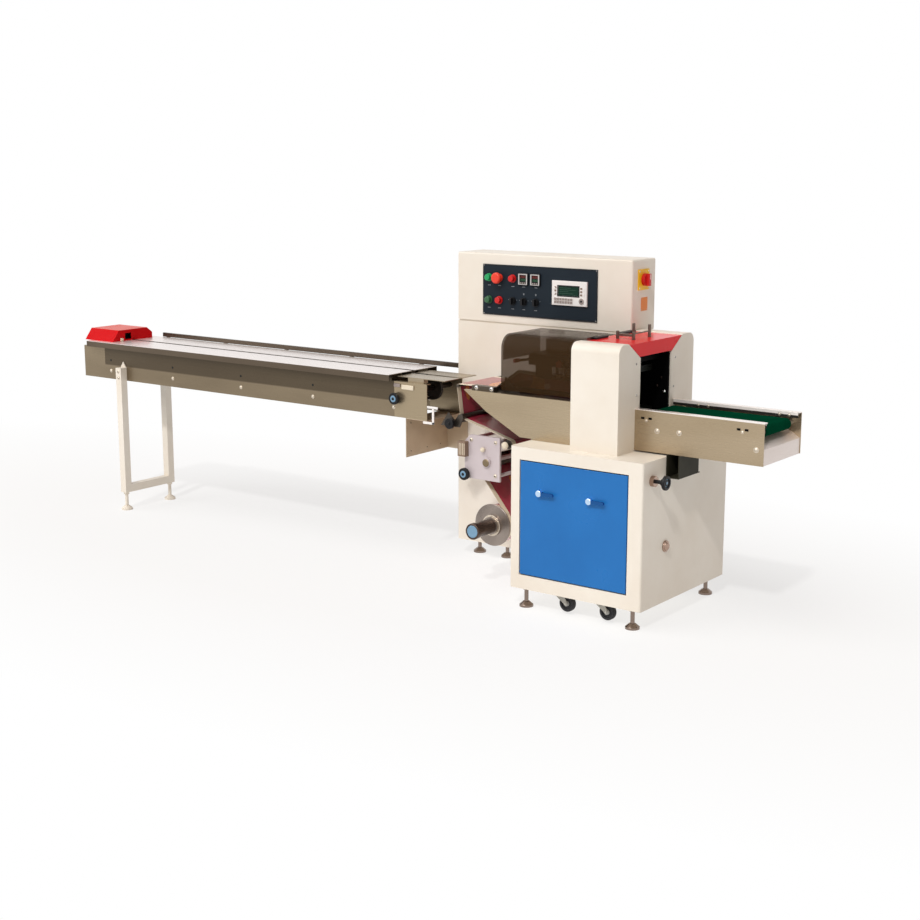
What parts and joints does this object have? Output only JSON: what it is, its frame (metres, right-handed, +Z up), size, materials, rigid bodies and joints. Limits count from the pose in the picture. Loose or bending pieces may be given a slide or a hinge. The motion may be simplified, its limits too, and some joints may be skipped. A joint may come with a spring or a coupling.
{
  "type": "horizontal flow wrapper",
  "caption": "Horizontal flow wrapper with a long flighted infeed, bottom film reel, forming section, rotary end seal under a red hood and a short belt outfeed.",
  "frame": {"origin": "on the floor, under the middle of the line, on the product line", "axes": "+X product flow from infeed to outfeed, +Y from the operator's side to the rear, +Z up"},
  "size_m": [4.02, 0.766, 1.437],
  "materials": {
    "cream_paint": "semi-gloss ivory enamel",
    "blue_paint": "satin blue enamel",
    "grey_paint": "satin",
    "black_paint": "satin",
    "panel_face": "matt dark grey-blue",
    "stainless": "brushed, warm reflections",
    "bright_steel": "polished",
    "zinc_steel": "zinc plated",
    "machined_steel": "machined",
    "red_sheet": "gloss red",
    "smoked_sheet": "smoked clear sheet",
    "black_plastic": "fine grain",
    "red_plastic": "gloss",
    "orange_plastic": "gloss",
    "green_plastic": "gloss",
    "yellow_plastic": "satin",
    "white_plastic": "satin",
    "screen_glass": "grey-green display",
    "green_belt": "smooth conveyor face",
    "black_rubber": "matt",
    "film": "printed film, dark red"
  },
  "bodies": {
    "machine": {"rear_housing": "cream_paint", "rear_access_panels": "cream_paint", "control_box": "cream_paint", "control_panel": "panel_face", "green_buttons": "green_plastic", "red_buttons": "red_plastic", "stop_button": "orange_plastic", "selector_switches": "black_plastic", "temperature_controllers": "black_plastic", "operator_terminal": "white_plastic", "terminal_screen": "screen_glass", "isolator_plate": "yellow_plastic", "seal_cabinet": "cream_paint", "levelling_feet": "zinc_steel", "rear_castor_forks": "grey_paint", "side_bosses": "machined_steel", "front_seal_cover": "cream_paint", "back_seal_cover": "cream_paint", "seal_hood": "red_sheet", "seal_frame": "black_paint", "seal_jaws": "machined_steel", "pressure_posts": "black_paint", "outfeed_side_plates": "stainless", "outfeed_belt": "green_belt", "outfeed_rollers": "machined_steel", "outfeed_end_guard": "stainless", "outfeed_support": "black_paint", "infeed_frame": "stainless", "infeed_beds": "stainless", "infeed_guide_rail": "stainless", "infeed_chain": "machined_steel", "infeed_hood": "red_sheet", "infeed_legs": "cream_paint", "infeed_support": "cream_paint", "transfer_plates": "stainless", "reel_bearing": "cream_paint", "film_web": "film", "film_bracket": "cream_paint", "film_rollers": "bright_steel", "clamp_knobs": "black_plastic", "guard_plate": "stainless", "forming_box": "stainless", "fin_seal_unit": "machined_steel", "fin_seal_knobs": "red_plastic", "smoked_hood_hinges": "machined_steel"},
    "door": {"cabinet_door": "blue_paint"},
    "left_latch": {"left_door_latch": "bright_steel"},
    "right_latch": {"right_door_latch": "bright_steel"},
    "left_fork": {"left_castor_fork": "grey_paint"},
    "right_fork": {"right_castor_fork": "grey_paint"},
    "left_wheel": {"left_castor_wheel": "black_rubber"},
    "right_wheel": {"right_castor_wheel": "black_rubber"},
    "rear_left_wheel": {"rear_left_castor_wheel": "black_rubber"},
    "rear_right_wheel": {"rear_right_castor_wheel": "black_rubber"},
    "handwheel_body": {"handwheel": "black_plastic"},
    "switch_knob": {"isolator_knob": "red_plastic"},
    "hood": {"smoked_hood": "smoked_sheet"},
    "reel": {"film_shaft": "bright_steel", "film_discs": "machined_steel", "film_roll": "film"}
  },
  "joints": [
    {"name": "door_drop", "type": "hinge", "parent": "machine", "child": "door", "pos_m": [1.2695, -0.357, 0.159], "axis": [1, 0, 0], "range_deg": [0, 90]},
    {"name": "left_latch_turn", "type": "hinge", "parent": "door", "child": "left_latch", "pos_m": [1.1125, -0.365, 0.51], "axis": [0, 1, 0], "range_deg": [0, 90]},
    {"name": "right_latch_turn", "type": "hinge", "parent": "door", "child": "right_latch", "pos_m": [1.3545, -0.365, 0.51], "axis": [0, 1, 0], "range_deg": [0, 90]},
    {"name": "smoked_hood_lift", "type": "hinge", "parent": "machine", "child": "hood", "pos_m": [0.985, 0.16, 1.106], "axis": [-1, 0, 0], "range_deg": [0, 65]},
    {"name": "film_reel_spin", "type": "hinge", "parent": "machine", "child": "reel", "pos_m": [0.72, 0, 0.274], "axis": [0, 1, 0], "continuous": true},
    {"name": "left_fork_swivel", "type": "hinge", "parent": "machine", "child": "left_fork", "pos_m": [1.1815, -0.31, 0.09], "axis": [0, 0, 1], "continuous": true},
    {"name": "right_fork_swivel", "type": "hinge", "parent": "machine", "child": "right_fork", "pos_m": [1.3775, -0.31, 0.09], "axis": [0, 0, 1], "continuous": true},
    {"name": "left_wheel_roll", "type": "hinge", "parent": "left_fork", "child": "left_wheel", "pos_m": [1.2195, -0.31, 0.045], "axis": [0, 1, 0], "continuous": true},
    {"name": "right_wheel_roll", "type": "hinge", "parent": "right_fork", "child": "right_wheel", "pos_m": [1.4155, -0.31, 0.045], "axis": [0, 1, 0], "continuous": true},
    {"name": "rear_left_wheel_roll", "type": "hinge", "parent": "machine", "child": "rear_left_wheel", "pos_m": [1.2195, 0.285, 0.045], "axis": [0, 1, 0], "continuous": true},
    {"name": "rear_right_wheel_roll", "type": "hinge", "parent": "machine", "child": "rear_right_wheel", "pos_m": [1.4155, 0.285, 0.045], "axis": [0, 1, 0], "continuous": true},
    {"name": "handwheel_turn", "type": "hinge", "parent": "machine", "child": "handwheel_body", "pos_m": [1.65, -0.296, 0.613], "axis": [1, 0, 0], "continuous": true},
    {"name": "isolator_turn", "type": "hinge", "parent": "machine", "child": "switch_knob", "pos_m": [1.224, 0.266, 1.35], "axis": [1, 0, 0], "range_deg": [0, 90]}
  ]
}
